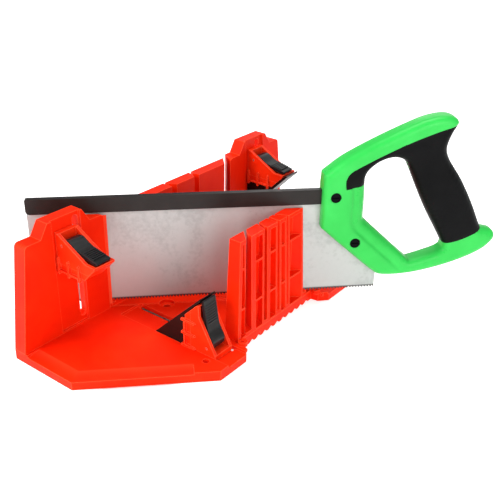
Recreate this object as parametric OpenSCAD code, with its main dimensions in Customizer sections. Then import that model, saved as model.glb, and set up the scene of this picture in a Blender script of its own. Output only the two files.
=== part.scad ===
// Clamping miter box with back saw
// Units are millimetres, +Z is up, +Y runs along the trough.
// The origin is the middle of the underside of the box, so Z = 0 is the bench.

/* [Box] */
// Length of the box along the trough
box_length = 409; // [400:1:440]
// Width over the outer faces of the two fences
box_width = 152; // [150:1:170]
// Height of the slotted fences above the bench
fence_height = 114; // [108:1:115]
// Height of the top of the floor above the bench
floor_top = 10.5; // [10:0.5:12]
// How far the end plates reach past the front fence
plate_reach = 20; // [18:1:26]

/* [Fences] */
// Thickness of the rear fence segments
rear_thick = 13; // [11:0.5:14]
// Thickness of the front fence pillars
front_thick = 13; // [11:0.5:14]
// Thickness of the two end towers
tower_thick = 15; // [15:0.5:16]
// Height of the middle of each tower above the bench
tower_top = 130; // [128:1:134]
// Width of the saw slots where they guide the blade
slot_width = 3; // [2.4:0.2:3.4]

/* [Saw] */
// Length of the saw blade
blade_length = 350; // [340:1:360]
// Thickness of the saw blade
blade_thick = 0.9; // [0.8:0.1:1.2]
// Spacing of the saw teeth
tooth_pitch = 3.2; // [2.5:0.1:4]
// Thickness of the stiffening back
back_thick = 6; // [5:0.5:7]
// Thickness of the handle
handle_thick = 25; // [22:1:26]

/* [Clamps] */
// Width of a clamp housing
clamp_width = 23; // [22:0.5:24]
// Height of the front tower clamp above the bench
tower_clamp_z = 80; // [60:1:84]
// Distance of a floor clamp from the rear face of the box
floor_clamp_x = 119; // [100:1:124]

/* [Hidden] */
$fn = 48;
half_l = box_length / 2;
half_w = box_width / 2;
eps = 0.01;

// Outline of the box
plate_x = half_w + plate_reach;
plate_corner = 78;
plate_run = 94;
plate_depth = 132;
front_len = 124;
foot_out = 3.7;
skin = 3;
skirt = 3;
bevel_drop = 2.2;
bevel_in = 14;

// Rear fence and towers
tower_len = 107;
tower_low = 116.4;
tower_lean = 13.7;
step_a = 31.8;
step_b = 40.4;
step_c = 81.1;
step_d = 89.8;
tower_in_x = -half_w + tower_thick;
rear_in_x = tower_in_x;
rear_out_x = tower_in_x - rear_thick;
recess_deep = 2.5;
recess_near = 15.5;
recess_far = 18;
web_thick = 2;
shoe_slot = 7;
near_slot_off = 13.5;
far_slot_off = 6;
clamp_mid = 60.5;

// Floor channels
channel_mid = 117;
channel_x0 = -half_w + 32;
channel_deep = recess_deep;
channel_near = 11.9;
channel_far = 15.8;
floor_slot = 4.8;
floor_slot_off = channel_far - floor_slot / 2;

// Saw slots: distance along the box at the rear face, and slope
cut_45 = 97.4;
cut_22 = 158;
cut_90 = 205.5;
cut_22m = 247.5;
cut_45m = 308.5;
slope_22 = 0.41421;
slot_floor = floor_top + 4;

// Saw position: it stands in the 45 degree slot
saw_x = -half_w;
saw_y = cut_45 - half_l;
teeth_z = 17.5;
tooth_deep = 2.6;
blade_s0 = -55;
back_z0 = 117.4;
back_z1 = 133;
back_s0 = -55.5;
back_s1 = 262;
front_s = 231.5;
screw_a = [243.9, 127.6];
screw_b = [267.0, 76.9];
screw_r = 2.5;
head_r = 5;
skin_t = 4;

// Clamp housing side view: n is away from the wall, s is along the slide
pin_n = 7.5;
pin_s = 27;
pin_r = 1.5;
pin_gap = 0.05;
side_thick = 2.2;
rib_out = 2.7;
face_out = 1;
pad_reach = 38;
pad_sink = recess_deep - 0.3;
pad_tip = 56;
guide_tongue = recess_deep - 0.3;
tower_tip = 48.2;
floor_tip = 53.4;
near_tower_shoe_x = -near_slot_off;
far_tower_shoe_x = -far_slot_off;
near_floor_shoe_x = floor_slot_off;
far_floor_shoe_x = -floor_slot_off;

orange = [1.0, 0.24, 0.08];
green = [0.30, 0.85, 0.36];
black = [0.09, 0.09, 0.10];
steel = [0.78, 0.77, 0.76];
dark = [0.15, 0.13, 0.12];
zinc = [0.7, 0.7, 0.72];

// ---------- helpers ----------

// Distance along the box measured from its near end
module at_near(y) {
  translate([0, y - half_l, 0]) children();
}

// The far end mirrors the near end
module far_end() {
  mirror([0, 1, 0]) children();
}

// Points of a rounded corner between two angles
function arc(cx, cy, r, a0, a1, n) =
  [for (i = [0 : n]) [cx + r * cos(a0 + (a1 - a0) * i / n), cy + r * sin(a0 + (a1 - a0) * i / n)]];

// Strip of a saw slot in plan, widening from the trough to the outside
module slot_plan(x_in, x_out, y0, slope, w_in, w_out) {
  yi = y0 + slope * (x_in + half_w) - half_l;
  yo = y0 + slope * (x_out + half_w) - half_l;
  k = sqrt(1 + slope * slope);
  polygon([[x_in, yi - w_in / 2 * k], [x_out, yo - w_out / 2 * k],
    [x_out, yo + w_out / 2 * k], [x_in, yi + w_in / 2 * k]]);
}

// All saw slots of the rear fence, with a lead-in on the trough side
module rear_slots() {
  lip = 4;
  for (c = [[cut_45, 1], [cut_22, slope_22], [cut_90, 0], [cut_22m, -slope_22], [cut_45m, -1]])
    slot_plan(rear_in_x + 2, -half_w - 4, c[0], c[1], slot_width, slot_width);
  for (c = [[cut_22, slope_22], [cut_90, 0], [cut_22m, -slope_22]])
    slot_flare(-half_w + lip, rear_in_x + 1, c[0], c[1], 7);
}

// All saw slots of the front fence, with a lead-in on the outside
module front_slots() {
  lip = 3;
  x_in = half_w - front_thick;
  for (c = [[cut_45, 1], [cut_22, slope_22], [cut_90, 0], [cut_22m, -slope_22], [cut_45m, -1]])
    slot_plan(x_in - 2, half_w + foot_out + 2, c[0], c[1], slot_width, slot_width);
  for (c = [[cut_22, slope_22, 2.5], [cut_90, 0, 3.5], [cut_22m, -slope_22, 4.5], [cut_45m, -1, 9]])
    slot_flare(x_in + lip, half_w + foot_out + 1, c[0], c[1], c[2]);
}

// Lead-in on the far side of a slot: it opens by wide from x0 to x1
module slot_flare(x0, x1, y0, slope, wide) {
  ya = y0 + slope * (x0 + half_w) - half_l;
  yb = y0 + slope * (x1 + half_w) - half_l;
  polygon(x1 > x0 ? [[x0, ya], [x1, yb], [x1, yb + wide]] : [[x0, ya], [x1, yb + wide], [x1, yb]]);
}

// ---------- box ----------

// Outline of the base in plan, near end at the bottom
function half_outline() = [[-half_w, 0], [-half_w + plate_corner, 0],
  [plate_x, plate_run], [plate_x, plate_depth], [plate_x - 8, plate_depth + 9],
  [half_w + foot_out, plate_depth + 10]];

module base_plan() {
  for (m = [0, 1]) mirror([0, m, 0]) translate([0, -half_l])
    polygon(concat(half_outline(), [[half_w + foot_out, half_l + eps], [-half_w, half_l + eps]]));
}

// The same outline moved inwards by d
module base_plan_in(d) {
  t = d * 0.4142;
  for (m = [0, 1]) mirror([0, m, 0]) translate([0, -half_l])
    polygon([[-half_w + d, d], [-half_w + plate_corner - t, d], [plate_x - d, plate_run + t],
      [plate_x - d, plate_depth - t], [half_w + foot_out - d, plate_depth + 8 - d],
      [half_w + foot_out - d, half_l + eps],
      [-half_w + d, half_l + eps]]);
}

// Sloping band along the front edges of an end plate
module plate_bevel() {
  rise = atan(bevel_drop / bevel_in);
  big = 60;
  front_mid = -half_w + plate_corner / 2;
  translate([front_mid, -half_l + bevel_in, floor_top]) rotate([rise, 0, 0])
    translate([-plate_corner / 2 - 20 + 38, -big, 0]) cube([plate_corner + 24 - 38, big, 20]);
  translate([-half_w + plate_corner, -half_l, floor_top]) rotate([0, 0, 45])
    translate([0, bevel_in + 0.1, 0]) rotate([rise, 0, 0])
    translate([-9, -big, 0]) cube([plate_run * 1.4142 - 15, big, 20]);
}

// Groove in the floor that guides a floor clamp, with its slot along one side
module floor_channel() {
  rim = 2.5;
  slot_x0 = channel_x0 + 3;
  slot_len = plate_x - 14 - slot_x0;
  difference() {
    at_near(channel_mid) translate([channel_x0, -channel_near, floor_top - channel_deep])
      cube([plate_x - channel_x0 + 1, channel_near + channel_far, channel_deep + 1]);
    difference() {
      translate([0, 0, -1]) linear_extrude(floor_top + 3) translate([0, -50])
        square([plate_x + 20, half_l]);
      translate([0, 0, -2]) linear_extrude(floor_top + 5) base_plan_in(rim);
    }
  }
  at_near(channel_mid) translate([slot_x0, channel_far - floor_slot, -1])
    cube([slot_len, floor_slot, floor_top + 2]);
}

// Clear space below the channel for the clamp shoe
module shoe_tunnel() {
  at_near(channel_mid) translate([channel_x0 + 2, floor_slot_off - 9, -1])
    cube([plate_x - 14 - channel_x0, 18, floor_top - channel_deep - web_thick + 1]);
}

module channel_bed() {
  at_near(channel_mid) translate([channel_x0 - 2, -channel_near - 4,
    floor_top - channel_deep - web_thick])
    cube([plate_x - 2 - channel_x0, channel_near + channel_far + 10, channel_deep + web_thick - 1]);
}

// Raised boss beside the channel at the tip of an end plate
module tip_boss() {
  at_near(plate_depth + 8.6) translate([half_w + foot_out + 5, 0, floor_top - 1])
    cylinder(h = 4.5, r = 4.6);
}

module tip_boss_hole() {
  at_near(plate_depth + 8.6) translate([half_w + foot_out + 5, 0, floor_top - 3])
    cylinder(h = 8, r = 2.2);
}

module base_ribs() {
  rib = 2;
  for (x = [-half_w + 25 : 31 : half_w - 5]) translate([x, -half_l + 2, 0])
    cube([rib, box_length - 4, 8]);
  for (i = [-5 : 5]) translate([-half_w + 1, i * 36 - rib / 2, 0])
    cube([box_width + plate_reach - 2, rib, 8]);
}

module base_holes() {
  big_r = 4;
  sink_r = 8;
  small_r = 3.5;
  at_near(150.3) translate([-half_w + 53.3, 0, -1]) cylinder(h = 20, r = big_r);
  at_near(150.3) translate([-half_w + 53.3, 0, floor_top - 4]) cylinder(h = 10, r = sink_r);
  at_near(97.6) translate([-half_w + 151.3, 0, -1]) cylinder(h = 20, r = small_r);
}

module base_bosses() {
  at_near(150.3) translate([-half_w + 53.3, 0, 0]) cylinder(h = 8, r = 11);
  at_near(97.6) translate([-half_w + 151.3, 0, 0]) cylinder(h = 8, r = 6.5);
}

// Saw-tooth notches along the foot of the front fence
module foot_notches() {
  pitch = 10.6;
  deep = 4.4;
  for (i = [-5 : 5]) translate([half_w - 5, i * pitch, -eps]) rotate([90, 0, 90])
    linear_extrude(14) polygon([[-4.2, 0], [3.6, 0], [3.2, deep], [2.4, deep]]);
}

module box_base() {
  color(orange) difference() {
    union() {
      difference() {
        linear_extrude(floor_top) base_plan();
        translate([0, 0, -1]) linear_extrude(floor_top - skin + 1) base_plan_in(skirt);
      }
      intersection() {
        union() {
          base_ribs();
          for (m = [0, 1]) mirror([0, m, 0]) base_bosses();
        }
        linear_extrude(floor_top - 1) base_plan_in(1);
      }
      for (m = [0, 1]) mirror([0, m, 0]) {
        channel_bed();
        tip_boss();
      }
    }
    for (m = [0, 1]) mirror([0, m, 0]) {
      plate_bevel();
      shoe_tunnel();
      floor_channel();
      base_holes();
      tip_boss_hole();
    }
    foot_notches();
    for (c = [[cut_45, 1], [cut_22, slope_22], [cut_90, 0], [cut_22m, -slope_22], [cut_45m, -1]])
      translate([0, 0, floor_top - 1]) linear_extrude(3)
      slot_plan(rear_in_x - 3, half_w - front_thick + 3, c[0], c[1], 2, 2);
  }
}

// Pockets that leave the outer side of the rear fence open
module rear_pockets(y0, y1, z0, z1, deep, levels) {
  rib = 2;
  cell = (z1 - z0 - rib * (levels - 1)) / levels;
  for (k = [0 : levels - 1]) translate([rear_out_x - 1, y0, z0 + k * (cell + rib)])
    cube([deep + 1, y1 - y0, cell]);
}

module box_rear_fence() {
  y0 = tower_len - 18 - half_l;
  deep = rear_thick - 3;
  color(orange) difference() {
    translate([rear_out_x, y0, floor_top]) cube([rear_thick, -2 * y0, fence_height - floor_top]);
    translate([0, 0, slot_floor]) linear_extrude(fence_height) rear_slots();
    rear_tower_relief(cut_45);
    far_end() rear_tower_relief(box_length - cut_45m);
    for (p = [[119, 152], [168, 198], [214, 238], [255, 288]])
      rear_pockets(p[0] - half_l, p[1] - half_l, 24, fence_height - 3, deep, 3);
  }
}

// Space of the 45 degree slot and the tower beside it
module rear_tower_relief(cut) {
  gap = slot_width / 2 * 1.4142;
  yi = tower_in_x + half_w + cut - half_l;
  yo = rear_out_x + half_w + cut - half_l;
  translate([0, 0, floor_top - 1]) linear_extrude(fence_height)
    polygon([[tower_in_x + 1, yi + 1 - gap - eps], [rear_out_x - 1, yo - 1 - gap - eps],
      [rear_out_x - 1, yo - 60], [tower_in_x + 1, yo - 60]]);
}

// Open pockets of the front pillars: near edge and its slope, far edge and its slope
function pillar_pockets() = [[-35.2, -0.32, -24, -slope_22], [-11.6, -slope_22, -2.9, 0],
  [6.4, 0, 12.6, slope_22], [20, slope_22, 40.3, 1]];

module front_pockets() {
  deep = 6;
  cells = [[floor_top + 1.5, 42], [44, 84], [86, fence_height - 4]];
  x_back = half_w - deep;
  for (p = pillar_pockets()) for (c = cells) translate([0, 0, c[0]]) linear_extrude(c[1] - c[0])
    polygon([[x_back, p[0] - p[1] * deep], [half_w + 9, p[0] + p[1] * 9],
      [half_w + 9, p[2] + p[3] * 9], [x_back, p[2] - p[3] * deep]]);
  // the end pillar has a tapering pocket
  for (m = [0, 1]) mirror([0, m, 0]) for (c = cells) translate([x_back + 2, 0, 0]) rotate([90, 0, 90])
    linear_extrude(20) polygon([[end_pocket(c[0]), c[0]], [-52.4, c[0]], [-52.4, c[1]],
      [end_pocket(c[1]), c[1]]]);
}

function end_pocket(z) = -60.5 + 6.3 * (z - floor_top) / (fence_height - floor_top);

module box_front_fence() {
  y0 = -front_len / 2;
  lean = 6.5;
  skew = 2.6;
  high = fence_height - floor_top;
  x_in = half_w - front_thick;
  color(orange) difference() {
    intersection() {
      translate([x_in, 0, floor_top]) rotate([90, 0, 90]) linear_extrude(front_thick + foot_out)
        polygon([[y0 - skew, 0], [-y0 + skew, 0], [-y0 + skew - lean, high], [y0 - skew + lean, high]]);
      translate([0, 70, floor_top]) rotate([90, 0, 0]) linear_extrude(140)
        polygon([[x_in, 0], [half_w + foot_out, 0], [half_w, high], [x_in, high]]);
    }
    translate([0, 0, slot_floor]) linear_extrude(fence_height) front_slots();
    front_pockets();
  }
}

// Side view of a tower: distance from the end of the box, height
function tower_side() = concat([[0, floor_top], [tower_len, floor_top]],
  arc(tower_len - 4, tower_low - 4, 4, 0, 90, 5), [[step_d, tower_low], [step_c, tower_top],
  [step_b, tower_top], [step_a, tower_low]], arc(tower_lean + 4, tower_low - 4, 4, 90, 173, 5));

module tower_body(rear_end) {
  deep = tower_thick - recess_deep - web_thick;
  difference() {
    translate([-half_w, -half_l, 0]) rotate([90, 0, 90]) linear_extrude(tower_thick)
      polygon(tower_side());
    // the end beside the saw slot slants back
    translate([0, 0, floor_top - 1]) linear_extrude(tower_top) translate([0, -half_l])
      polygon([[tower_in_x + 1, tower_len + eps], [tower_in_x, tower_len], [-half_w, rear_end],
        [-half_w - 1, rear_end], [-half_w - 1, tower_len + 30], [tower_in_x + 1, tower_len + 30]]);
    // guide recess for the clamp
    at_near(clamp_mid) translate([tower_in_x - recess_deep, -recess_near, floor_top + 2])
      cube([recess_deep + 1, recess_near + recess_far, tower_top]);
    // hollow outer side
    translate([-half_w - 1, 46 - half_l, 16]) cube([deep + 1, 36, 112 - 16]);
    translate([-half_w - 1, 55 - half_l, 16]) cube([deep + 1, 24, 126 - 16]);
    translate([-half_w - 1, 16 - half_l, 16]) cube([deep - 1, 13, 94]);
    translate([-half_w - 1, 31 - half_l, 16]) cube([deep - 1, 13, 94]);
  }
}

// Slot the clamp slides along, set off to one side of the housing
module tower_slot(mid, off) {
  z0 = 17;
  z1 = 126.5;
  translate([-half_w - 1, mid - half_l + off, z0 + shoe_slot / 2])
    rotate([90, 0, 90]) linear_extrude(tower_thick + 2) slot_shape(z1 - z0 - shoe_slot);
}

module slot_shape(len) {
  circle(r = shoe_slot / 2);
  translate([0, len]) circle(r = shoe_slot / 2);
  translate([-shoe_slot / 2, 0]) square([shoe_slot, len]);
}

module box_near_tower() {
  color(orange) difference() {
    tower_body(tower_len - tower_thick);
    tower_slot(clamp_mid, near_slot_off);
  }
}

module box_far_tower() {
  color(orange) difference() {
    far_end() tower_body(box_length - cut_45m - slot_width / 2 * 1.4142);
    tower_slot(box_length - clamp_mid, far_slot_off);
  }
}

// ---------- clamps ----------
// Local frame of a clamp: x across, y away from the wall, z along the slide

module on_near_tower() {
  translate([tower_in_x, clamp_mid - half_l, tower_clamp_z]) rotate([0, 0, -90]) children();
}

module on_far_tower() {
  translate([tower_in_x, half_l - clamp_mid, tower_clamp_z]) rotate([0, 0, -90]) children();
}

module on_near_floor() {
  translate([floor_clamp_x - half_w, channel_mid - half_l, floor_top]) rotate([90, 0, 90]) children();
}

module on_far_floor() {
  translate([floor_clamp_x - half_w, half_l - channel_mid, floor_top]) rotate([90, 0, 90]) children();
}

// Extrude a side view (n, s) across the clamp, from x0 to x1
module across(x0, x1) {
  translate([x0, 0, 0]) rotate([90, 0, 90]) linear_extrude(x1 - x0) children();
}

module housing(xo, slot) {
  w = clamp_width / 2;
  top = 37.5;
  rail_n = 37;
  rail_s = 18;
  low = 0.15;
  side = [[low, 0], [34, 0], [49.5, 15.5], [49.5, 17.6], [rail_n, rail_s], [2.5, top], [low, top]];
  color(orange) difference() {
    union() {
      for (x = [-w, w - side_thick]) across(x, x + side_thick) polygon(side);
      // back, bottom and slanted front plates
      across(-w, w) polygon([[-guide_tongue, 0], [3, 0], [3, top], [-guide_tongue, top]]);
      across(-w, w) polygon([[low, 0], [34, 0], [34, 2], [low, 2]]);
      across(-w, w) polygon([[32, 0], [34, 0], [49.5, 15.5], [49.5, 17.6], [48.4, 17.6], [31, 0.2]]);
      // rails along the open top
      for (x = [-w - 0.9, w - side_thick]) across(x, x + side_thick + 0.9)
        polygon([[low, top - 2.6], [low, top], [2.5, top], [rail_n + 1, rail_s],
          [rail_n - 1.8, rail_s - 1.2], [2, top - 2.6]]);
      // raised face of each side, away from the ribbed end
      for (x = [-w - face_out, w - eps]) across(x, x + face_out + eps)
        polygon([[low, 7.5], [41.5, 7.5], [49.5, 15.5], [49.5, 17.6], [rail_n, rail_s], [2.5, top],
          [low, top]]);
      // side ribs, reaching past the bottom plate
      for (n = [0.3, 14, 28]) for (x = [-w - rib_out, w - eps])
        across(x, x + rib_out + eps) polygon([[n, -3], [n + 2.2, -3], [n + 2.2, 12.5], [n + 1.1, 14],
          [n, 12.5]]);
      // tab that carries the screw where the slot runs beside the housing
      if (abs(xo) > w - 3) across(min(xo - 2.2, 0), max(xo + 2.2, 0))
        polygon([[-guide_tongue, 4], [3, 4], [3, 16], [-guide_tongue, 16]]);
      // foot along the wall on both sides
      for (x = [-w - rib_out, w - eps]) across(x, x + rib_out + eps)
        polygon([[low, 0], [31, 0], [31, 1.6], [low, 1.6]]);
    }
    translate([-w - 5, pin_n, pin_s]) rotate([0, 90, 0]) cylinder(h = clamp_width + 10, r = pin_r);
    // hole for the shoe screw
    translate([xo, -5, 10]) rotate([-90, 0, 0]) cylinder(h = 12, r = screw_hole(slot));
  }
}

module lever(tip) {
  w = 8.3;
  ridges = floor((tip - 31) / 2.5);
  hump = [[4, 28.6], [6.2, 30.5], [9, 31.6], [12.5, 31.8], [16, 30.4], [20, 27.6], [24, 25.9], [30, 24.6],
    [tip, 20.9], [tip + 0.6, 20.2], [tip + 0.6, 19.2], [tip - 0.2, 18.5], [tip - 3.4, 18.4],
      [30, 21.2], [22, 21.4], [15, 22.2], [9, 23.5],
    [5.5, 24], [4, 25.4]];
  color(black) difference() {
    union() {
      across(-w, w) polygon(hump);
      for (i = [0 : ridges - 1]) translate([-w + 0.8, 30 + i * 2.5, 24.55 - i * 2.5 * 0.165])
        rotate([-9.4, 0, 0]) translate([0, 0, -0.6]) cube([2 * w - 1.6, 1.2, 1.5]);
    }
    translate([-w - 5, pin_n, pin_s]) rotate([0, 90, 0]) cylinder(h = 2 * w + 10, r = pin_r + pin_gap);
  }
}

module pivot() {
  w = clamp_width / 2 + 0.6;
  color(zinc) translate([-w, pin_n, pin_s]) rotate([0, 90, 0]) cylinder(h = 2 * w, r = pin_r);
}

// Slanted pad under the housing: its lower edge runs in the guide recess
module pad() {
  w = clamp_width / 2 - 0.2;
  gap = 0.15;
  low = -pad_sink;
  foot = -pad_reach + low;
  color(black) difference() {
    across(-w, w) polygon([[low, foot], [low + 0.6, foot - 0.2],
      [pad_tip - 0.6, pad_tip - pad_reach - 0.8],
      [pad_tip - 0.4, pad_tip - pad_reach - 0.2], [pad_tip - 3, pad_tip - pad_reach - 0.2],
      [34 + 2 * gap, -gap], [low, -gap]]);
    // lightening pockets, open towards the housing
    for (x = [-w + 2, 0.8]) across(x, x + w - 2.8) polygon([[4, -28], [4, 1], [26, 1], [26, -6]]);
  }
}

// Sliding foot: it fills the slot and spreads behind the wall
module shoe(xo, slot) {
  back = recess_deep + web_thick;
  stem = slot / 2 - 0.3;
  r = screw_hole(slot);
  color(black) difference() {
    union() {
      translate([xo - stem, -back - 0.3, 3]) cube([2 * stem, back + 0.3 - guide_tongue - 0.02, 14]);
      translate([xo - 7.5, -back - 2.3, 1]) cube([15, 2, 18]);
    }
    translate([xo, -20, 10]) rotate([-90, 0, 0]) cylinder(h = 40, r = r);
  }
}

function screw_hole(slot) = slot > 6 ? 2.1 : 1.6;

module shoe_screw(xo, slot) {
  r = screw_hole(slot) - 0.1;
  back = recess_deep + web_thick + 2.3;
  color(zinc) union() {
    translate([xo, -back - 1.8, 10]) rotate([-90, 0, 0]) cylinder(h = 1.8, r = 3.6);
    translate([xo, -back - eps, 10]) rotate([-90, 0, 0]) cylinder(h = back + 6, r = r);
    translate([xo, 3.02, 10]) rotate([-90, 0, 0]) cylinder(h = 2.4, r = 3.1, $fn = 6);
  }
}

module near_tower_housing() { on_near_tower() housing(near_tower_shoe_x, shoe_slot); }
module near_tower_lever() { on_near_tower() lever(tower_tip); }
module near_tower_pivot() { on_near_tower() pivot(); }
module near_tower_shoe() { on_near_tower() shoe(near_tower_shoe_x, shoe_slot); }
module near_tower_screw() { on_near_tower() shoe_screw(near_tower_shoe_x, shoe_slot); }

module far_tower_housing() { on_far_tower() housing(far_tower_shoe_x, shoe_slot); }
module far_tower_lever() { on_far_tower() lever(tower_tip); }
module far_tower_pivot() { on_far_tower() pivot(); }
module far_tower_shoe() { on_far_tower() shoe(far_tower_shoe_x, shoe_slot); }
module far_tower_screw() { on_far_tower() shoe_screw(far_tower_shoe_x, shoe_slot); }
module far_tower_pad() { on_far_tower() pad(); }

module near_floor_housing() { on_near_floor() housing(near_floor_shoe_x, floor_slot); }
module near_floor_lever() { on_near_floor() lever(floor_tip); }
module near_floor_pivot() { on_near_floor() pivot(); }
module near_floor_shoe() { on_near_floor() shoe(near_floor_shoe_x, floor_slot); }
module near_floor_screw() { on_near_floor() shoe_screw(near_floor_shoe_x, floor_slot); }
module near_floor_pad() { on_near_floor() pad(); }

module far_floor_housing() { on_far_floor() housing(far_floor_shoe_x, floor_slot); }
module far_floor_lever() { on_far_floor() lever(floor_tip); }
module far_floor_pivot() { on_far_floor() pivot(); }
module far_floor_shoe() { on_far_floor() shoe(far_floor_shoe_x, floor_slot); }
module far_floor_screw() { on_far_floor() shoe_screw(far_floor_shoe_x, floor_slot); }
module far_floor_pad() { on_far_floor() pad(); }

// ---------- saw ----------
// Local frame of the saw: x along the blade, y across it, z up

module in_saw() {
  translate([saw_x, saw_y, 0]) rotate([0, 0, 45]) children();
}

// Extrude a side view (along, up) across the saw, from y0 to y1
module saw_across(y0, y1) {
  translate([0, y1, 0]) rotate([90, 0, 0]) linear_extrude(y1 - y0) children();
}

function teeth(n) = [for (i = [0 : n - 1]) each [[blade_s0 + blade_length - i * tooth_pitch, teeth_z],
  [blade_s0 + blade_length - (i + 0.6) * tooth_pitch, teeth_z + tooth_deep]]];

// Hidden end of the blade inside the handle, moved out by g
function blade_heel(g) = [[blade_s0 + blade_length - 38 + g, back_z1 - 2],
  [blade_s0 + blade_length - 23 + g, 97 + g], [blade_s0 + blade_length + g, 60 + g]];

module saw_blade() {
  n = floor(blade_length / tooth_pitch);
  color(steel) in_saw() difference() {
    saw_across(-blade_thick / 2, blade_thick / 2)
      polygon(concat([[blade_s0, back_z1 - 2]], blade_heel(0), teeth(n),
        [[blade_s0 + 0.6, teeth_z + tooth_deep], [blade_s0, teeth_z + tooth_deep + 1]]));
    for (p = [screw_a, screw_b]) translate([p[0], -5, p[1]]) rotate([-90, 0, 0])
      cylinder(h = 10, r = screw_r + 0.3);
  }
}

module saw_back() {
  t = back_thick / 2;
  r = 4;
  color(dark) in_saw() difference() {
    saw_across(-t, t) polygon(concat([[back_s0 + 1, back_z1], [back_s0, back_z1 - 1]],
      arc(back_s0 + r, back_z0 + r, r, 180, 270, 6), [[back_s1, back_z0], [back_s1, back_z1]]));
    saw_across(-blade_thick / 2, blade_thick / 2)
      polygon([[back_s0 - 1, back_z0 - 1], [back_s1 + 1, back_z0 - 1], [back_s1 + 1, back_z1 - 2],
        [back_s0 - 1, back_z1 - 2]]);
    translate([screw_a[0], -10, screw_a[1]]) rotate([-90, 0, 0]) cylinder(h = 20, r = screw_r + 0.3);
  }
}

// Outer edge of the handle, starting at the lower front corner
function handle_edge() = [[front_s, 93.8], [front_s, 150.5], [237, 154.9], [246, 162.4], [258, 170.2],
  [274, 178.6], [290, 187], [308, 195.2], [324, 202.5], [334, 205.4], [342, 207], [350, 207.3],
    [356, 206],
  [360.3, 203.4], [362, 200.5], [360.5, 197], [356.6, 189.5], [354.4, 182], [353.8, 175], [355.1, 168.5],
  [358.7, 161], [364.4, 153], [372.6, 142], [379.8, 130], [387.1, 117], [393.4, 104.5], [399.8, 90.5],
  [402.2, 86.6], [405.5, 84.9], [409.5, 84], [413, 83.2], [416, 81.6], [418, 79], [418.4, 76],
    [417.2, 72],
  [411, 65], [402.5, 58.8], [388, 51.8], [371, 45.8], [355.4, 41.5], [339.2, 38], [324.6, 36],
    [309.9, 35.4],
  [300, 36], [291.5, 38]];

// Edge of the finger opening
function opening_edge() = [[275.6, 130], [273.4, 142], [273.4, 148.3], [276.2, 153.4], [280.5, 157.8],
  [286, 161.8], [293, 164.9], [300, 166.1], [305.6, 165.7], [310.6, 163.7], [314.6, 160], [317.6, 154.8],
  [327.6, 133.3], [342.2, 104.4], [361.4, 72.6], [363.5, 68.5], [362.8, 64.3], [359, 60.9], [330, 51.8],
  [327.5, 52], [276.4, 99.6], [275.6, 101.8]];

// Zone covered by the soft grip, reaching past the edges of the handle
function grip_zone() = [[253.7, 135.6], [252.9, 141], [252.9, 145.4], [255, 150.8], [259.1, 154.8],
  [279.5, 165.8], [308.7, 180.2], [335.1, 190.6], [349, 195.4], [364, 199.4], [377, 200], [414, 112],
  [406, 88.5], [399.5, 85], [391.5, 80.6], [384, 77], [376.8, 74.3], [368, 72.2], [361.5, 69.5],
    [352, 69],
  [338, 92], [310, 146], [294, 158], [280, 146], [278, 139]];

// Inner part of the grip bar that the soft skin is moulded round
function core_zone() = [[245, 118], [245, 162], [338, 208], [352, 206], [349, 196], [347, 187],
  [347, 176],
  [355, 160], [370, 137], [384, 112], [391, 98], [394.5, 89], [399, 83], [406, 81], [398, 68], [374, 50],
  [354, 50], [366, 60], [371, 72], [369, 82], [352, 111], [336, 141], [324, 163], [313, 171.6],
    [298, 172.6],
  [284, 169], [268, 158], [262, 148], [262, 118]];

module handle_plan() {
  difference() {
    polygon(handle_edge());
    polygon(opening_edge());
  }
}

module saw_handle() {
  t = handle_thick / 2;
  cap = 2.5;
  color(green) in_saw() difference() {
    union() {
      saw_across(-t, t) difference() {
        handle_plan();
        polygon(grip_zone());
      }
      // core inside the soft grip
      saw_across(-t + skin_t, t - skin_t) intersection() {
        handle_plan();
        polygon(core_zone());
      }
    }
    // slit for the blade and pocket for the stiffening back
    saw_across(-blade_thick / 2 - 0.05, blade_thick / 2 + 0.05)
      polygon(concat([[front_s - 1, back_z1 - 2]], blade_heel(1),
        [[blade_s0 + blade_length + 1, 30], [front_s - 1, 30]]));
    saw_across(-back_thick / 2 - 0.05, back_thick / 2 + 0.05)
      polygon([[front_s - 1, back_z0 - 0.05], [back_s1 + 0.1, back_z0 - 0.05],
        [back_s1 + 0.1, back_z1 + 0.05], [front_s - 1, back_z1 + 0.05]]);
    for (p = [screw_a, screw_b]) {
      translate([p[0], -t - 1, p[1]]) rotate([-90, 0, 0]) cylinder(h = 2 * t + 2, r = screw_r + 0.02);
      for (y = [-t - 1, t - cap]) translate([p[0], y, p[1]]) rotate([-90, 0, 0])
        cylinder(h = cap + 1, r = head_r + 0.1);
    }
  }
}

module saw_grip() {
  t = handle_thick / 2;
  skin_out = 0.6;
  color(black) in_saw() difference() {
    saw_across(-t - skin_out, t + skin_out) intersection() {
      polygon(grip_zone());
      handle_plan();
    }
    saw_across(-t + skin_t, t - skin_t) polygon(core_zone());
  }
}

module saw_screws() {
  t = handle_thick / 2;
  color(black) in_saw() for (p = [screw_a, screw_b]) translate([p[0], -t + 0.1, p[1]])
    rotate([-90, 0, 0]) difference() {
    union() {
      cylinder(h = 2.4, r = head_r);
      cylinder(h = 2 * t - 5, r = 1.5);
    }
    translate([-4, -0.6, -1]) cube([8, 1.2, 2]);
  }
}

module saw_nuts() {
  t = handle_thick / 2;
  color(black) in_saw() for (p = [screw_a, screw_b]) translate([p[0], t - 0.1, p[1]])
    rotate([90, 0, 0]) difference() {
    union() {
      cylinder(h = 2.4, r = head_r);
      cylinder(h = 12, r = screw_r);
    }
    translate([0, 0, 2.6]) cylinder(h = 12, r = 1.5);
  }
}

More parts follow.
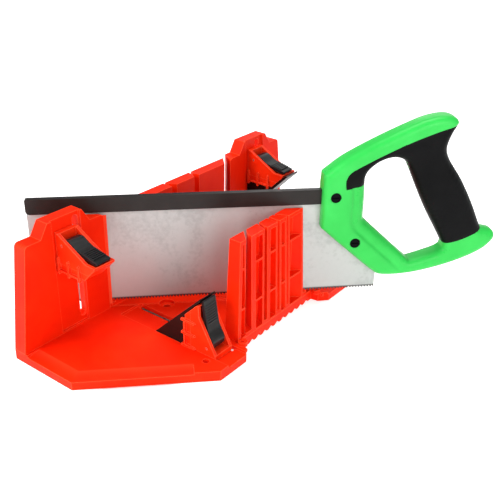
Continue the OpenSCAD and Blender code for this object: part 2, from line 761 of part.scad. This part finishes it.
box_base();
box_rear_fence();
box_front_fence();
box_near_tower();
box_far_tower();
near_tower_housing();
near_tower_lever();
near_tower_pivot();
near_tower_shoe();
near_tower_screw();
far_tower_housing();
far_tower_lever();
far_tower_pivot();
far_tower_shoe();
far_tower_screw();
far_tower_pad();
near_floor_housing();
near_floor_lever();
near_floor_pivot();
near_floor_shoe();
near_floor_screw();
near_floor_pad();
far_floor_housing();
far_floor_lever();
far_floor_pivot();
far_floor_shoe();
far_floor_screw();
far_floor_pad();
saw_blade();
saw_back();
saw_handle();
saw_grip();
saw_screws();
saw_nuts();
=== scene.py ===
"""Looks of the clamping miter box and its back saw."""
import math

import bmesh
import bpy
import numpy as np
from mathutils import Matrix, Vector
from mathutils.geometry import delaunay_2d_cdt


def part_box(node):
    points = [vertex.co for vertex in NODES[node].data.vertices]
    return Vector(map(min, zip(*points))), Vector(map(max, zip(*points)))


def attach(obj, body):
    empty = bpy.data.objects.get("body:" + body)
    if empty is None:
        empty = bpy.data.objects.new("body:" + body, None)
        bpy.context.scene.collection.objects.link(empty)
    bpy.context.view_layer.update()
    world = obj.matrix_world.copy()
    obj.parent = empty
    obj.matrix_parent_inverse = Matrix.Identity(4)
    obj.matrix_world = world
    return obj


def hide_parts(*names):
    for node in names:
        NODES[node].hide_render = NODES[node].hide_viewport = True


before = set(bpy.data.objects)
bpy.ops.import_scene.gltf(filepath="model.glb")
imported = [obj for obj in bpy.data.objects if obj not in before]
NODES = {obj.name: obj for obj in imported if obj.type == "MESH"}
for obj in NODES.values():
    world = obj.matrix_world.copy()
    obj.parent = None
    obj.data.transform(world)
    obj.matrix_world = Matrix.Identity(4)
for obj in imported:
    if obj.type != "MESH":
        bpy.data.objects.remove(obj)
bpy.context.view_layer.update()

MM = 0.001


# ---------- materials ----------

class Graph:
    """A node material with one Principled shader."""

    def __init__(self, name):
        self.mat = bpy.data.materials.new(name)
        self.mat.use_nodes = True
        self.tree = self.mat.node_tree
        self.tree.nodes.clear()
        self.out = self.add("ShaderNodeOutputMaterial")
        self.bsdf = self.add("ShaderNodeBsdfPrincipled")
        self.link(self.bsdf.outputs[0], self.out.inputs[0])
        self.coord = self.add("ShaderNodeTexCoord").outputs["Object"]

    def add(self, kind, **values):
        node = self.tree.nodes.new(kind)
        for key, value in values.items():
            setattr(node, key, value)
        return node

    def link(self, a, b):
        self.tree.links.new(a, b)

    def noise(self, scale, detail=3.0, rough=0.55, stretch=None, distortion=0.0):
        node = self.add("ShaderNodeTexNoise")
        node.inputs["Scale"].default_value = scale
        node.inputs["Detail"].default_value = detail
        node.inputs["Roughness"].default_value = rough
        node.inputs["Distortion"].default_value = distortion
        source = self.coord
        if stretch is not None:
            source = self.mapped(stretch)
        self.link(source, node.inputs["Vector"])
        return node.outputs["Fac"]

    def mapped(self, scale, rotation=(0, 0, 0)):
        node = self.add("ShaderNodeMapping")
        node.inputs["Scale"].default_value = scale
        node.inputs["Rotation"].default_value = rotation
        self.link(self.coord, node.inputs["Vector"])
        return node.outputs["Vector"]

    def ramp(self, fac, stops):
        node = self.add("ShaderNodeValToRGB")
        elements = node.color_ramp.elements
        while len(elements) < len(stops):
            elements.new(0.5)
        for element, (pos, color) in zip(elements, stops):
            element.position = pos
            element.color = (*color, 1) if len(color) == 3 else color
        self.link(fac, node.inputs["Fac"])
        return node.outputs["Color"]

    def grey(self, fac, low, high, a=0.3, b=0.7):
        node = self.add("ShaderNodeMapRange")
        node.inputs["From Min"].default_value = a
        node.inputs["From Max"].default_value = b
        node.inputs["To Min"].default_value = low
        node.inputs["To Max"].default_value = high
        self.link(fac, node.inputs["Value"])
        return node.outputs["Result"]

    def math(self, kind, a, b):
        node = self.add("ShaderNodeMath", operation=kind)
        for socket, value in zip(node.inputs, (a, b)):
            if isinstance(value, (int, float)):
                socket.default_value = value
            else:
                self.link(value, socket)
        return node.outputs[0]

    def bump(self, height, distance, strength=1.0, normal=None):
        node = self.add("ShaderNodeBump")
        node.inputs["Distance"].default_value = distance
        node.inputs["Strength"].default_value = strength
        self.link(height, node.inputs["Height"])
        if normal is not None:
            self.link(normal, node.inputs["Normal"])
        return node.outputs["Normal"]

    def edges(self, radius=0.0009):
        """Close to 1 along the edges of a piece, 0 away from them."""
        soft = self.add("ShaderNodeBevel", samples=4)
        soft.inputs["Radius"].default_value = radius
        flat = self.add("ShaderNodeNewGeometry")
        node = self.add("ShaderNodeVectorMath", operation="DOT_PRODUCT")
        self.link(soft.outputs[0], node.inputs[0])
        self.link(flat.outputs["True Normal"], node.inputs[1])
        return self.grey(node.outputs["Value"], 1.0, 0.0, 0.975, 0.9995)

    def set(self, **values):
        for key, value in values.items():
            socket = self.bsdf.inputs[key.replace("_", " ")]
            if hasattr(value, "is_output") or isinstance(value, bpy.types.NodeSocket):
                self.link(value, socket)
            else:
                socket.default_value = value
        return self


def plastic(name, main, deep, light, rough, gloss, edge=None, grain=0.00002, grain_scale=1400.0, mottle=16.0):
    """Moulded plastic: slow colour drift, fine spark-eroded grain, rubbed patches and a painted highlight along the
    edges.
    """
    g = Graph(name)
    drift = g.noise(mottle, 4, 0.6, distortion=0.4)
    color = g.ramp(drift, [(0.30, deep), (0.52, main), (0.74, light)])
    if edge is not None:
        # painted highlight: a paler colour laid along every edge
        mix = g.add("ShaderNodeMix", data_type="RGBA")
        g.link(g.edges(), mix.inputs["Factor"])
        g.link(color, mix.inputs["A"])
        mix.inputs["B"].default_value = (*edge, 1)
        color = mix.outputs["Result"]
    g.set(Base_Color=color)
    rub = g.noise(60.0, 5, 0.65)
    g.set(Roughness=g.grey(rub, rough - 0.06, rough + 0.08))
    fine = g.noise(grain_scale, 2, 0.5)
    wave = g.noise(42.0, 2, 0.4)
    first = g.bump(wave, 0.00018, 0.5)
    g.set(Normal=g.bump(fine, grain, 0.6, first))
    g.set(Specular_IOR_Level=gloss)
    return g.mat


# the edge colours are painted highlights along the edges of each piece
ORANGE = plastic("orange_plastic", (0.88, 0.019, 0.0016), (0.82, 0.012, 0.0010), (0.93, 0.027, 0.0030), 0.42, 0.06,
                 edge=(1.0, 0.085, 0.030))
CLAMP_ORANGE = plastic("clamp_orange", (0.86, 0.026, 0.003), (0.80, 0.018, 0.002), (0.91, 0.036, 0.005), 0.36, 0.10,
                       edge=(1.0, 0.11, 0.045), mottle=40.0)
GREEN = plastic("green_plastic", (0.031, 0.515, 0.074), (0.026, 0.48, 0.065), (0.038, 0.555, 0.085), 0.32, 0.20,
                mottle=22.0)
LEVER_BLACK = plastic("lever_black", (0.006, 0.006, 0.006), (0.004, 0.004, 0.004), (0.010, 0.010, 0.010), 0.34, 0.20,
                      edge=(0.028, 0.028, 0.030), mottle=70.0)
PAD_BLACK = plastic("pad_black", (0.010, 0.006, 0.005), (0.006, 0.004, 0.004), (0.014, 0.009, 0.008), 0.32, 0.16,
                    mottle=50.0)
SHOE_BLACK = plastic("shoe_black", (0.012, 0.012, 0.012), (0.008, 0.008, 0.008), (0.018, 0.018, 0.018), 0.5, 0.2,
                     mottle=60.0)


def soft_grip():
    """Thermoplastic rubber: dark, satin and finely pebbled."""
    g = Graph("soft_grip")
    drift = g.noise(30.0, 4, 0.6)
    g.set(Base_Color=g.ramp(drift, [(0.3, (0.0025, 0.0025, 0.0027)), (0.7, (0.0050, 0.0050, 0.0054))]))
    pebbles = g.add("ShaderNodeTexVoronoi")
    pebbles.inputs["Scale"].default_value = 900.0
    g.link(g.coord, pebbles.inputs["Vector"])
    g.set(Roughness=g.grey(g.noise(120.0, 3), 0.36, 0.48))
    g.set(Normal=g.bump(pebbles.outputs["Distance"], 0.00008, 0.7))
    g.set(Specular_IOR_Level=0.06)
    return g.mat


GRIP = soft_grip()


def blade_steel():
    """Ground and lacquered saw steel: grind marks along the blade, cloudy patches, a few fine scratches."""
    g = Graph("blade_steel")
    turn = (0, 0, math.radians(-45))
    marks = g.add("ShaderNodeTexNoise")
    marks.inputs["Scale"].default_value = 1.0
    marks.inputs["Detail"].default_value = 4.0
    g.link(g.mapped((18, 18, 1900), turn), marks.inputs["Vector"])
    cloud = g.noise(11.0, 5, 0.6, distortion=0.5)
    speck = g.noise(240.0, 3, 0.6)
    blotch = g.math("ADD", g.math("MULTIPLY", cloud, 0.7), g.math("MULTIPLY", speck, 0.3))
    steel = g.ramp(blotch, [(0.36, (0.37, 0.385, 0.376)), (0.46, (0.445, 0.465, 0.452)),
                            (0.62, (0.465, 0.485, 0.472))])
    # the blade turns near-black below about 20 mm up, along the tooth line
    split = g.add("ShaderNodeSeparateXYZ")
    g.link(g.coord, split.inputs[0])
    mix = g.add("ShaderNodeMix", data_type="RGBA")
    mix.inputs["A"].default_value = (0.05, 0.046, 0.046, 1)
    g.link(g.grey(split.outputs["Z"], 0.0, 1.0, 20.0 * MM, 21.6 * MM), mix.inputs["Factor"])
    g.link(steel, mix.inputs["B"])
    g.set(Base_Color=mix.outputs["Result"])
    g.set(Metallic=0.3, Specular_IOR_Level=0.3)
    streak = g.math("ADD", g.math("MULTIPLY", marks.outputs["Fac"], 0.4), g.math("MULTIPLY", cloud, 0.6))
    g.set(Roughness=g.grey(streak, 0.36, 0.54))
    g.set(Normal=g.bump(marks.outputs["Fac"], 0.00001, 0.5))
    return g.mat


BLADE = blade_steel()


def back_paint():
    """Dark lacquered steel back, a little orange-peel in the paint."""
    g = Graph("back_paint")
    drift = g.noise(35.0, 4, 0.6)
    g.set(Base_Color=g.ramp(drift, [(0.3, (0.010, 0.007, 0.006)), (0.7, (0.018, 0.013, 0.011))]))
    g.set(Roughness=g.grey(g.noise(90.0, 4), 0.30, 0.44))
    g.set(Normal=g.bump(g.noise(420.0, 2), 0.00003, 0.5))
    g.set(Specular_IOR_Level=0.25)
    return g.mat


BACK = back_paint()


def bright_steel(name, tint, rough):
    """Turned steel with tool marks."""
    g = Graph(name)
    marks = g.noise(700.0, 3, 0.6)
    g.set(Base_Color=g.ramp(marks, [(0.3, tuple(c * 0.86 for c in tint)), (0.7, tint)]))
    g.set(Metallic=1.0, Roughness=g.grey(g.noise(150.0, 3), rough - 0.05, rough + 0.1))
    g.set(Normal=g.bump(marks, 0.00001, 0.4))
    return g.mat


PIN = bright_steel("pin_steel", (0.66, 0.66, 0.68), 0.3)
SCREW = bright_steel("screw_black", (0.006, 0.006, 0.007), 0.38)


# ---------- CAD nodes that keep their shape ----------

def dress(name, mat, width=0.5, segments=2, angle=28):
    """Gives a CAD node its material and rounds its edges a little, without touching its mesh."""
    o = NODES[name]
    o.data.materials.clear()
    o.data.materials.append(mat)
    for poly in o.data.polygons:
        poly.material_index = 0
        poly.use_smooth = True
    if "custom_normal" in o.data.attributes:
        o.data.attributes.remove(o.data.attributes["custom_normal"])
    weld = o.modifiers.new("weld", "WELD")
    weld.merge_threshold = 2e-6
    if width:
        edge = o.modifiers.new("edge", "BEVEL")
        edge.width = width * MM
        edge.segments = segments
        edge.limit_method = "ANGLE"
        edge.angle_limit = math.radians(angle)
        edge.use_clamp_overlap = True
        edge.harden_normals = False
        edge.miter_outer = "MITER_ARC"
    shade = o.modifiers.new("shade", "WEIGHTED_NORMAL")
    shade.keep_sharp = True
    shade.weight = 60
    return o


for n in ("box_base", "box_rear_fence", "box_front_fence", "box_near_tower", "box_far_tower"):
    dress(n, ORANGE, 0.7, 3)
for unit in ("near_tower", "far_tower", "near_floor", "far_floor"):
    dress(unit + "_housing", CLAMP_ORANGE, 0.35, 2)
    dress(unit + "_lever", LEVER_BLACK, 0.3, 2)
    dress(unit + "_pivot", PIN, 0.25, 2)
    dress(unit + "_shoe", SHOE_BLACK, 0.4, 2)
    dress(unit + "_screw", PIN, 0.2, 2)
    if unit != "near_tower":
        dress(unit + "_pad", PAD_BLACK, 0.5, 2)
dress("saw_blade", BLADE, 0)
dress("saw_back", BACK, 0.6, 3)
dress("saw_screws", SCREW, 0.5, 2)
dress("saw_nuts", SCREW, 0.5, 2)


# ---------- handle and soft grip of the saw ----------

# Body of the handle, in metres: half thickness, edge rounding and the step beside the finger opening
HALF = 12.5 * MM
GRIP_SWELL = 0.45 * MM
ROUND_FRONT = 5.0 * MM
ROUND_BAR = 8.0 * MM
ROUND_GRIP = 11.0 * MM
STEP_WIDE = 15.9 * MM
STEP_SLOPE = 2.6 * MM
STEP_DEEP = 2.6 * MM
SEAM_DEEP = 0.45 * MM
SEAM_HALF = 0.5 * MM
SLICE_AT = 9.2 * MM
OUTLINE_STEP = 1.3 * MM
GRID_STEP = 3.1 * MM
GAP_SHARE = 0.85
CLOSE_GAP = 0.55 * MM
OPEN_GAP = 1.1 * MM
SCREW_INNER = 2.5 * MM
SCREW_HOLE = 5.15 * MM
SCREW_RIM = 5.45 * MM
SCREW_KEEP = 5.9 * MM
SCREW_FLOOR = 2.6 * MM
KEYS_PER_METRE = 20000
# Distances of the mesh rings from the outlines, in millimetres
RINGS = [0.25, 0.6, 1.1, 1.8, 2.6, 3.6, 4.8, 6.2, 7.8, 9.3]
STEP_RINGS = [10.6, 11.9, 12.9, 13.6, 14.2, 14.8, 15.4, 16.1]

ALONG = Vector((1, 1, 0)).normalized()
ACROSS = Vector((-1, 1, 0)).normalized()
blade_low, blade_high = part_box("saw_blade")
SAW_MID = (Vector(blade_low) + Vector(blade_high)) / 2
SAW_MID.z = 0


def saw_point(s, n, z):
    """World place of a point given along the blade, across it and up."""
    return SAW_MID + ALONG * s + ACROSS * n + Vector((0, 0, z))


def loops_at(node, n):
    """Closed outlines of a CAD node where the plane n cuts it, as arrays of (s, z)."""
    bm = bmesh.new()
    bm.from_mesh(NODES[node].data)
    bmesh.ops.remove_doubles(bm, verts=bm.verts, dist=1e-6)
    bmesh.ops.bisect_plane(bm, geom=bm.verts[:] + bm.edges[:] + bm.faces[:], dist=1e-7,
                           plane_co=SAW_MID + ACROSS * n, plane_no=ACROSS, clear_outer=True, clear_inner=True)
    bmesh.ops.remove_doubles(bm, verts=bm.verts, dist=2e-6)
    links = {}
    for e in bm.edges:
        a, b = e.verts
        links.setdefault(a.index, []).append(b.index)
        links.setdefault(b.index, []).append(a.index)
    place = {}
    for v in bm.verts:
        d = v.co - SAW_MID
        place[v.index] = (d.dot(ALONG), v.co.z)
    loops, seen = [], set()
    for start in links:
        if start in seen:
            continue
        loop, at, before = [], start, None
        while at is not None and at not in seen:
            seen.add(at)
            loop.append(place[at])
            ahead = [k for k in links[at] if k != before and k not in seen]
            before, at = at, (ahead[0] if ahead else None)
        loops.append(straighten(np.array(loop)))
    bm.free()
    return [l for l in loops if len(l) > 2]


def straighten(loop):
    """Leaves out points that lie on a straight stretch of a loop."""
    keep = []
    count = len(loop)
    for i in range(count):
        a, b, c = loop[i - 1], loop[i], loop[(i + 1) % count]
        u, v = b - a, c - b
        cross = abs(u[0] * v[1] - u[1] * v[0])
        if cross > 4e-3 * np.hypot(*u) * np.hypot(*v):
            keep.append(b)
    return np.array(keep)


def chained(edges):
    """Joins loose edges, given as pairs of point keys, into chains of keys."""
    links = {}
    for a, b in edges:
        links.setdefault(a, []).append(b)
        links.setdefault(b, []).append(a)
    chains, used = [], set()
    starts = sorted(links, key=lambda k: (len(links[k]) != 1, k))
    for start in starts:
        for first in links[start]:
            if frozenset((start, first)) in used:
                continue
            chain, a, b = [start], start, first
            while True:
                used.add(frozenset((a, b)))
                chain.append(b)
                ahead = [k for k in links[b] if frozenset((b, k)) not in used]
                if not ahead or b == start:
                    break
                a, b = b, ahead[0]
            chains.append(chain)
    return chains


def rounded(points, closed, passes=3, sharp=38):
    """Cuts the corners of a polyline again and again, except the sharp ones."""
    pts = [np.array(p) for p in points]
    limit = math.cos(math.radians(sharp))
    fixed = []
    for i, p in enumerate(pts):
        if not closed and i in (0, len(pts) - 1):
            fixed.append(True)
            continue
        u, v = p - pts[i - 1], pts[(i + 1) % len(pts)] - p
        fixed.append(float(u @ v) < limit * np.hypot(*u) * np.hypot(*v))
    for _ in range(passes):
        new, mark = [], []
        for i, p in enumerate(pts):
            if fixed[i]:
                new.append(p)
                mark.append(True)
                continue
            a, b = pts[i - 1], pts[(i + 1) % len(pts)]
            new += [p + (a - p) * 0.25, p + (b - p) * 0.25]
            mark += [False, False]
        pts, fixed = new, mark
    return np.array(pts)


def resampled(points, closed, step):
    """Points every step along a polyline; its corners stay."""
    pts = list(points) + ([points[0]] if closed else [])
    out = []
    for a, b in zip(pts, pts[1:]):
        length = np.hypot(*(b - a))
        if length < step * 0.3 and out and np.hypot(*(a - out[-1])) < step * 0.45:
            continue
        parts = max(1, int(round(length / step)))
        out += [a + (b - a) * k / parts for k in range(parts)]
    if not closed:
        out.append(pts[-1])
    return np.array(out)


def segments(points, closed):
    nxt = np.roll(points, -1, axis=0)
    pairs = np.stack([points, nxt], axis=1)
    return pairs if closed else pairs[:-1]


def distance(points, segs):
    """Distance of each point to the nearest of the segments."""
    a, b = segs[:, 0], segs[:, 1]
    ab = b - a
    best = np.full(len(points), 1e9)
    for start in range(0, len(points), 400):
        p = points[start:start + 400, None, :]
        t = np.clip(((p - a) * ab).sum(2) / np.maximum((ab * ab).sum(1), 1e-18), 0, 1)
        d = np.hypot(*np.moveaxis(p - (a + ab * t[..., None]), 2, 0))
        best[start:start + 400] = d.min(1)
    return best


def inside(points, loop):
    """Which points lie inside a closed loop."""
    x, y = points[:, 0], points[:, 1]
    hit = np.zeros(len(points), bool)
    for (ax, ay), (bx, by) in segments(loop, True):
        if ay == by:
            continue
        cross = (ay > y) != (by > y)
        hit ^= cross & (x < (bx - ax) * (y - ay) / (by - ay) + ax)
    return hit


def smooth_step(x, low, high):
    t = np.clip((x - low) / (high - low), 0, 1)
    return t * t * (3 - 2 * t)


def area_of(loop):
    x, y = loop[:, 0], loop[:, 1]
    return abs((x * np.roll(y, -1) - np.roll(x, -1) * y).sum()) / 2


def handle_outlines():
    """Outer edge, opening and seams between the hard handle and the soft grip."""
    green, black = loops_at("saw_handle", SLICE_AT), loops_at("saw_grip", SLICE_AT)

    def key(p):
        return (round(p[0] * KEYS_PER_METRE), round(p[1] * KEYS_PER_METRE))

    def edge_set(loops):
        return {frozenset((key(a), key(b))) for loop in loops for a, b in segments(loop, True)
                if key(a) != key(b)}

    green, black = edge_set(green), edge_set(black)
    seam = green & black
    border = (green | black) - seam
    borders = chained([tuple(e) for e in border])
    seams = chained([tuple(e) for e in seam])

    def real(chain):
        return np.array([(a / KEYS_PER_METRE, b / KEYS_PER_METRE) for a, b in chain])

    loops = sorted([real(c[:-1]) for c in borders if c[0] == c[-1]], key=area_of)
    return loops[-1], loops[-2], [real(c) for c in seams]


def circle(centre, radius, count):
    turns = np.linspace(0, 2 * math.pi, count, endpoint=False)
    return centre + radius * np.stack([np.cos(turns), np.sin(turns)], axis=1)


def normals(tangent):
    tangent = tangent / np.hypot(*tangent.T)[:, None]
    return np.stack([-tangent[:, 1], tangent[:, 0]], axis=1)


def handle_mesh():
    """Builds the rounded handle and its grip, split along the seams."""
    outer, opening, seams = handle_outlines()
    outer = resampled(rounded(straighten(outer), True), True, OUTLINE_STEP)
    opening = resampled(rounded(straighten(opening), True), True, OUTLINE_STEP)
    zone = [resampled(rounded(c, False), False, OUTLINE_STEP) for c in seams]
    border = np.concatenate([segments(outer, True), segments(opening, True)])
    hole_edge = segments(opening, True)
    seam_segs = np.concatenate([segments(c, False) for c in zone])
    screws = screw_places()

    verts, edges = [], []

    def add(points, closed):
        first = len(verts)
        verts.extend(points)
        count = len(points)
        for i in range(count if closed else count - 1):
            edges.append((first + i, first + (i + 1) % count))

    add(outer, True)
    add(opening, True)
    for c in zone:
        add(c, False)
    extra = []
    for loop in (outer, opening):
        normal = normals(np.roll(loop, -1, axis=0) - np.roll(loop, 1, axis=0))
        for ring in RINGS + (STEP_RINGS if loop is opening else []):
            for side in (1, -1):
                extra.append(loop + normal * side * ring * MM)
    for c in zone:
        normal = normals(np.gradient(c, axis=0))
        for side in (1, -1):
            for ring in (SEAM_HALF, 2.5 * SEAM_HALF):
                extra.append(c + normal * side * ring)
    low, high = outer.min(0), outer.max(0)
    columns, rows = (np.arange(low[k], high[k], GRID_STEP) for k in (0, 1))
    extra.append(np.array([(x, y) for x in columns for y in rows]))
    extra = np.concatenate(extra)
    extra = extra[inside(extra, outer) & ~inside(extra, opening)]
    d = distance(extra, border)
    ds = distance(extra, seam_segs)
    wanted = (d > 0.22 * MM) & (ds > 0.42 * MM)
    for centre in screws:
        wanted &= np.hypot(*(extra - centre).T) > SCREW_KEEP
    extra, d = extra[wanted], d[wanted]
    # thin out points that crowd together
    order = np.argsort(d)
    taken, kept = {}, []
    for i in order:
        gap = CLOSE_GAP if d[i] < 3 * MM else OPEN_GAP
        cell = tuple((extra[i] / CLOSE_GAP).astype(int))
        near = False
        for dx in (-2, -1, 0, 1, 2):
            for dy in (-2, -1, 0, 1, 2):
                other = taken.get((cell[0] + dx, cell[1] + dy))
                if other is not None and np.hypot(*(extra[other] - extra[i])) < gap * GAP_SHARE:
                    near = True
        if not near:
            taken[cell] = i
            kept.append(i)
    verts.extend(extra[kept])
    for centre in screws:
        for radius in (SCREW_HOLE, SCREW_RIM):
            add(circle(centre, radius, 48), True)
        verts.append(centre)
        verts.extend(circle(centre, SCREW_INNER, 16))
    result = delaunay_2d_cdt([Vector(v) for v in verts], edges, [], 0, 1e-7)
    flat = np.array([(v.x, v.y) for v in result[0]])
    faces = np.array([f for f in result[2]])
    middle = flat[faces].mean(1)
    kept_faces = inside(middle, outer) & ~inside(middle, opening)
    faces, middle = faces[kept_faces], middle[kept_faces]
    soft = grip_faces(middle)
    height = handle_height(flat, border, hole_edge, seam_segs, screws, soft, faces)
    return flat, faces, soft, height


def screw_places():
    """Centres of the two saw screws, along the blade and up."""
    mesh = NODES["saw_screws"].data
    pts = np.array([((v.co - SAW_MID).dot(ALONG), v.co.z) for v in mesh.vertices])
    split = (pts[:, 1].min() + pts[:, 1].max()) / 2
    return [(group.min(0) + group.max(0)) / 2 for group in (pts[pts[:, 1] > split], pts[pts[:, 1] < split])]


def grip_faces(middle):
    """True for the faces, given by their middles, that belong to the soft grip."""
    black = [straighten(l) for l in loops_at("saw_grip", SLICE_AT)]
    black = max(black, key=area_of)
    return inside(middle, black)


def handle_height(flat, border, hole_edge, seam_segs, screws, soft, faces):
    """Half thickness of the handle at each point."""
    d = distance(flat, border)
    hole = distance(flat, hole_edge)
    seam = distance(flat, seam_segs)
    s, z = flat[:, 0], flat[:, 1]
    front = SCREW_S
    bar = np.maximum(smooth_step(s, front - 4 * MM, front + 34 * MM), smooth_step(z, 136 * MM, 150 * MM))
    hold = smooth_step(s, front + 62 * MM, front + 82 * MM)
    hold *= smooth_step(z, 64 * MM, 92 * MM) * (1 - smooth_step(z, 168 * MM, 190 * MM))
    radius = ROUND_FRONT + (ROUND_BAR - ROUND_FRONT) * bar + (ROUND_GRIP - ROUND_BAR) * hold
    # the step round the front of the finger opening
    where = (1 - smooth_step(s, front + 58 * MM, front + 86 * MM)) * (1 - smooth_step(z, 128 * MM, 150 * MM))
    drop = STEP_DEEP * (1 - smooth_step(hole, STEP_WIDE - STEP_SLOPE, STEP_WIDE))
    drop += 1.3 * MM * (1 - np.clip(hole / STEP_WIDE, 0, 1)) ** 1.5
    radius = np.where(hole <= d + 1e-6, radius + where * 1.5 * MM, radius)
    radius = np.minimum(radius, HALF - 0.3 * MM)
    inner = np.clip(radius - d, 0, None)
    height = HALF - drop * where - radius + np.sqrt(np.maximum(radius ** 2 - inner ** 2, 0))
    black = np.zeros(len(flat), bool)
    black[faces[soft].ravel()] = True
    height += np.where(black, GRIP_SWELL * smooth_step(seam, SEAM_HALF, 4 * MM), 0) * smooth_step(d, 0, 6 * MM)
    height -= SEAM_DEEP * (1 - smooth_step(seam, 0, SEAM_HALF * 1.6))
    links = [set() for _ in flat]
    for a, b, c in faces:
        links[a] |= {b, c}
        links[b] |= {a, c}
        links[c] |= {a, b}
    move = (d > 2.5 * MM) & (seam > 1.6 * MM)
    for centre in screws:
        move &= np.hypot(*(flat - centre).T) > 8 * MM
    for _ in range(2):
        mean = np.array([height[list(l)].mean() if l else height[i] for i, l in enumerate(links)])
        height = np.where(move, height * 0.4 + mean * 0.6, height)
    for centre in screws:
        in_hole = np.hypot(*(flat - centre).T) < (SCREW_HOLE + SCREW_RIM) / 2
        height = np.where(in_hole, HALF - SCREW_FLOOR, height)
    return height


SCREW_S = screw_places()[0][0]


def solid_from(name, flat, faces, height, mat):
    """A closed solid, the same on both sides of the blade."""
    used = np.unique(faces)
    index = {int(v): i for i, v in enumerate(used)}
    count = len(used)
    verts = [saw_point(flat[v][0], -height[v], flat[v][1]) for v in used]
    verts += [saw_point(flat[v][0], height[v], flat[v][1]) for v in used]
    front, back, sides = [], [], []
    directed = set()
    for a, b, c in faces:
        pa, pb, pc = flat[a], flat[b], flat[c]
        if (pb[0] - pa[0]) * (pc[1] - pa[1]) - (pb[1] - pa[1]) * (pc[0] - pa[0]) < 0:
            b, c = c, b
        a, b, c = index[int(a)], index[int(b)], index[int(c)]
        front.append((a, b, c))
        back.append((c + count, b + count, a + count))
        directed |= {(a, b), (b, c), (c, a)}
    for a, b in directed:
        if (b, a) not in directed:
            sides.append((b, a, a + count, b + count))
    mesh = bpy.data.meshes.new(name)
    mesh.from_pydata([tuple(v) for v in verts], [], front + back + sides)
    bm = bmesh.new()
    bm.from_mesh(mesh)
    bmesh.ops.recalc_face_normals(bm, faces=bm.faces)
    bm.to_mesh(mesh)
    bm.free()
    for poly in mesh.polygons:
        poly.use_smooth = True
    mesh.set_sharp_from_angle(angle=math.radians(48))
    mesh.materials.append(mat)
    o = bpy.data.objects.new(name, mesh)
    bpy.context.scene.collection.objects.link(o)
    return o


def build_handle():
    flat, faces, soft, height = handle_mesh()
    hard = solid_from("handle_shell", flat, faces[~soft], height, GREEN)
    grip = solid_from("grip_sleeve", flat, faces[soft], height, GRIP)
    for piece, node, slot in ((hard, "saw_handle", "handle_plastic"), (grip, "saw_grip", "grip_rubber")):
        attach(piece, "saw")
        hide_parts(node)


build_handle()


# ---------- floor, light and camera ----------

def floor():
    mesh = bpy.data.meshes.new("floor")
    r = 6.0
    mesh.from_pydata([(-r, -r, 0), (r, -r, 0), (r, r, 0), (-r, r, 0)], [], [(0, 1, 2, 3)])
    o = bpy.data.objects.new("floor", mesh)
    bpy.context.scene.collection.objects.link(o)
    g = Graph("floor_pale")
    g.set(Base_Color=g.ramp(g.noise(3.0, 3), [(0.3, (0.86, 0.86, 0.86)), (0.7, (0.90, 0.90, 0.90))]))
    g.set(Roughness=0.9)
    g.set(Specular_IOR_Level=0.1)
    # the light table glows round the object but not under it
    split = g.add("ShaderNodeSeparateXYZ")
    g.link(g.coord, split.inputs[0])
    reach_x = g.math("SUBTRACT", g.math("ABSOLUTE", split.outputs["X"], 0), 0.062)
    reach_y = g.math("SUBTRACT", g.math("ABSOLUTE", split.outputs["Y"], 0), 0.185)
    reach = g.math("MAXIMUM", reach_x, reach_y)
    glow = g.math("ADD", g.grey(reach, 0.0, 0.62, 0.0, 0.012), g.grey(reach, 0.0, 0.36, 0.4, 1.5))
    g.set(Emission_Color=(1, 1, 1, 1), Emission_Strength=glow)
    mesh.materials.append(g.mat)
    o.location.z = -0.0004


def area_light(name, place, target, size, power, color=(1, 1, 1)):
    light = bpy.data.lights.new(name, "AREA")
    light.shape = "RECTANGLE"
    light.size, light.size_y = size
    light.energy = power
    light.color = color
    o = bpy.data.objects.new(name, light)
    o.location = place
    o.rotation_euler = (Vector(target) - Vector(place)).to_track_quat("-Z", "Y").to_euler()
    bpy.context.scene.collection.objects.link(o)


floor()
area_light("key", (-0.7, -1.7, 1.3), (0.05, 0, 0.06), (1.0, 0.8), 38)
area_light("fill", (1.8, -0.9, 1.0), (0.05, 0, 0.08), (1.3, 1.1), 23)
area_light("top", (-0.1, 0.3, 2.2), (0.05, 0, 0.05), (1.2, 1.2), 32)
area_light("rear", (-0.6, 1.8, 1.2), (0.05, 0, 0.05), (1.4, 1.0), 8)

world = bpy.data.worlds.new("studio")
bpy.context.scene.world = world
world.use_nodes = True
# white low down, dimmer overhead
sky = world.node_tree
split = sky.nodes.new("ShaderNodeSeparateXYZ")
fade = sky.nodes.new("ShaderNodeMapRange")
for socket, value in (("From Min", 0.12), ("From Max", 0.35), ("To Min", 1.0), ("To Max", 0.06)):
    fade.inputs[socket].default_value = value
sky.links.new(sky.nodes.new("ShaderNodeTexCoord").outputs["Generated"], split.inputs[0])
sky.links.new(split.outputs["Z"], fade.inputs["Value"])
sky.nodes["Background"].inputs["Color"].default_value = (1.0, 1.0, 1.0, 1)
sky.links.new(fade.outputs["Result"], sky.nodes["Background"].inputs["Strength"])

VIEW_RIGHT = Vector((0.79350775, 0.60828896, 0.01816572))
VIEW_UP = Vector((-0.29194247, 0.3543059, 0.88839008))
VIEW_FORWARD = Vector((-0.53396165, 0.71024775, -0.45872986))
camera_data = bpy.data.cameras.new("camera")
camera_data.sensor_width = 36.0
camera_data.lens = 55.12
camera = bpy.data.objects.new("camera", camera_data)
bpy.context.scene.collection.objects.link(camera)
turn = Matrix((VIEW_RIGHT, VIEW_UP, -VIEW_FORWARD)).transposed().to_4x4()
camera.matrix_world = Matrix.Translation((0.4545158, -0.5472952, 0.4259709)) @ turn
bpy.context.scene.camera = camera
bpy.context.scene.view_settings.view_transform = "Standard"
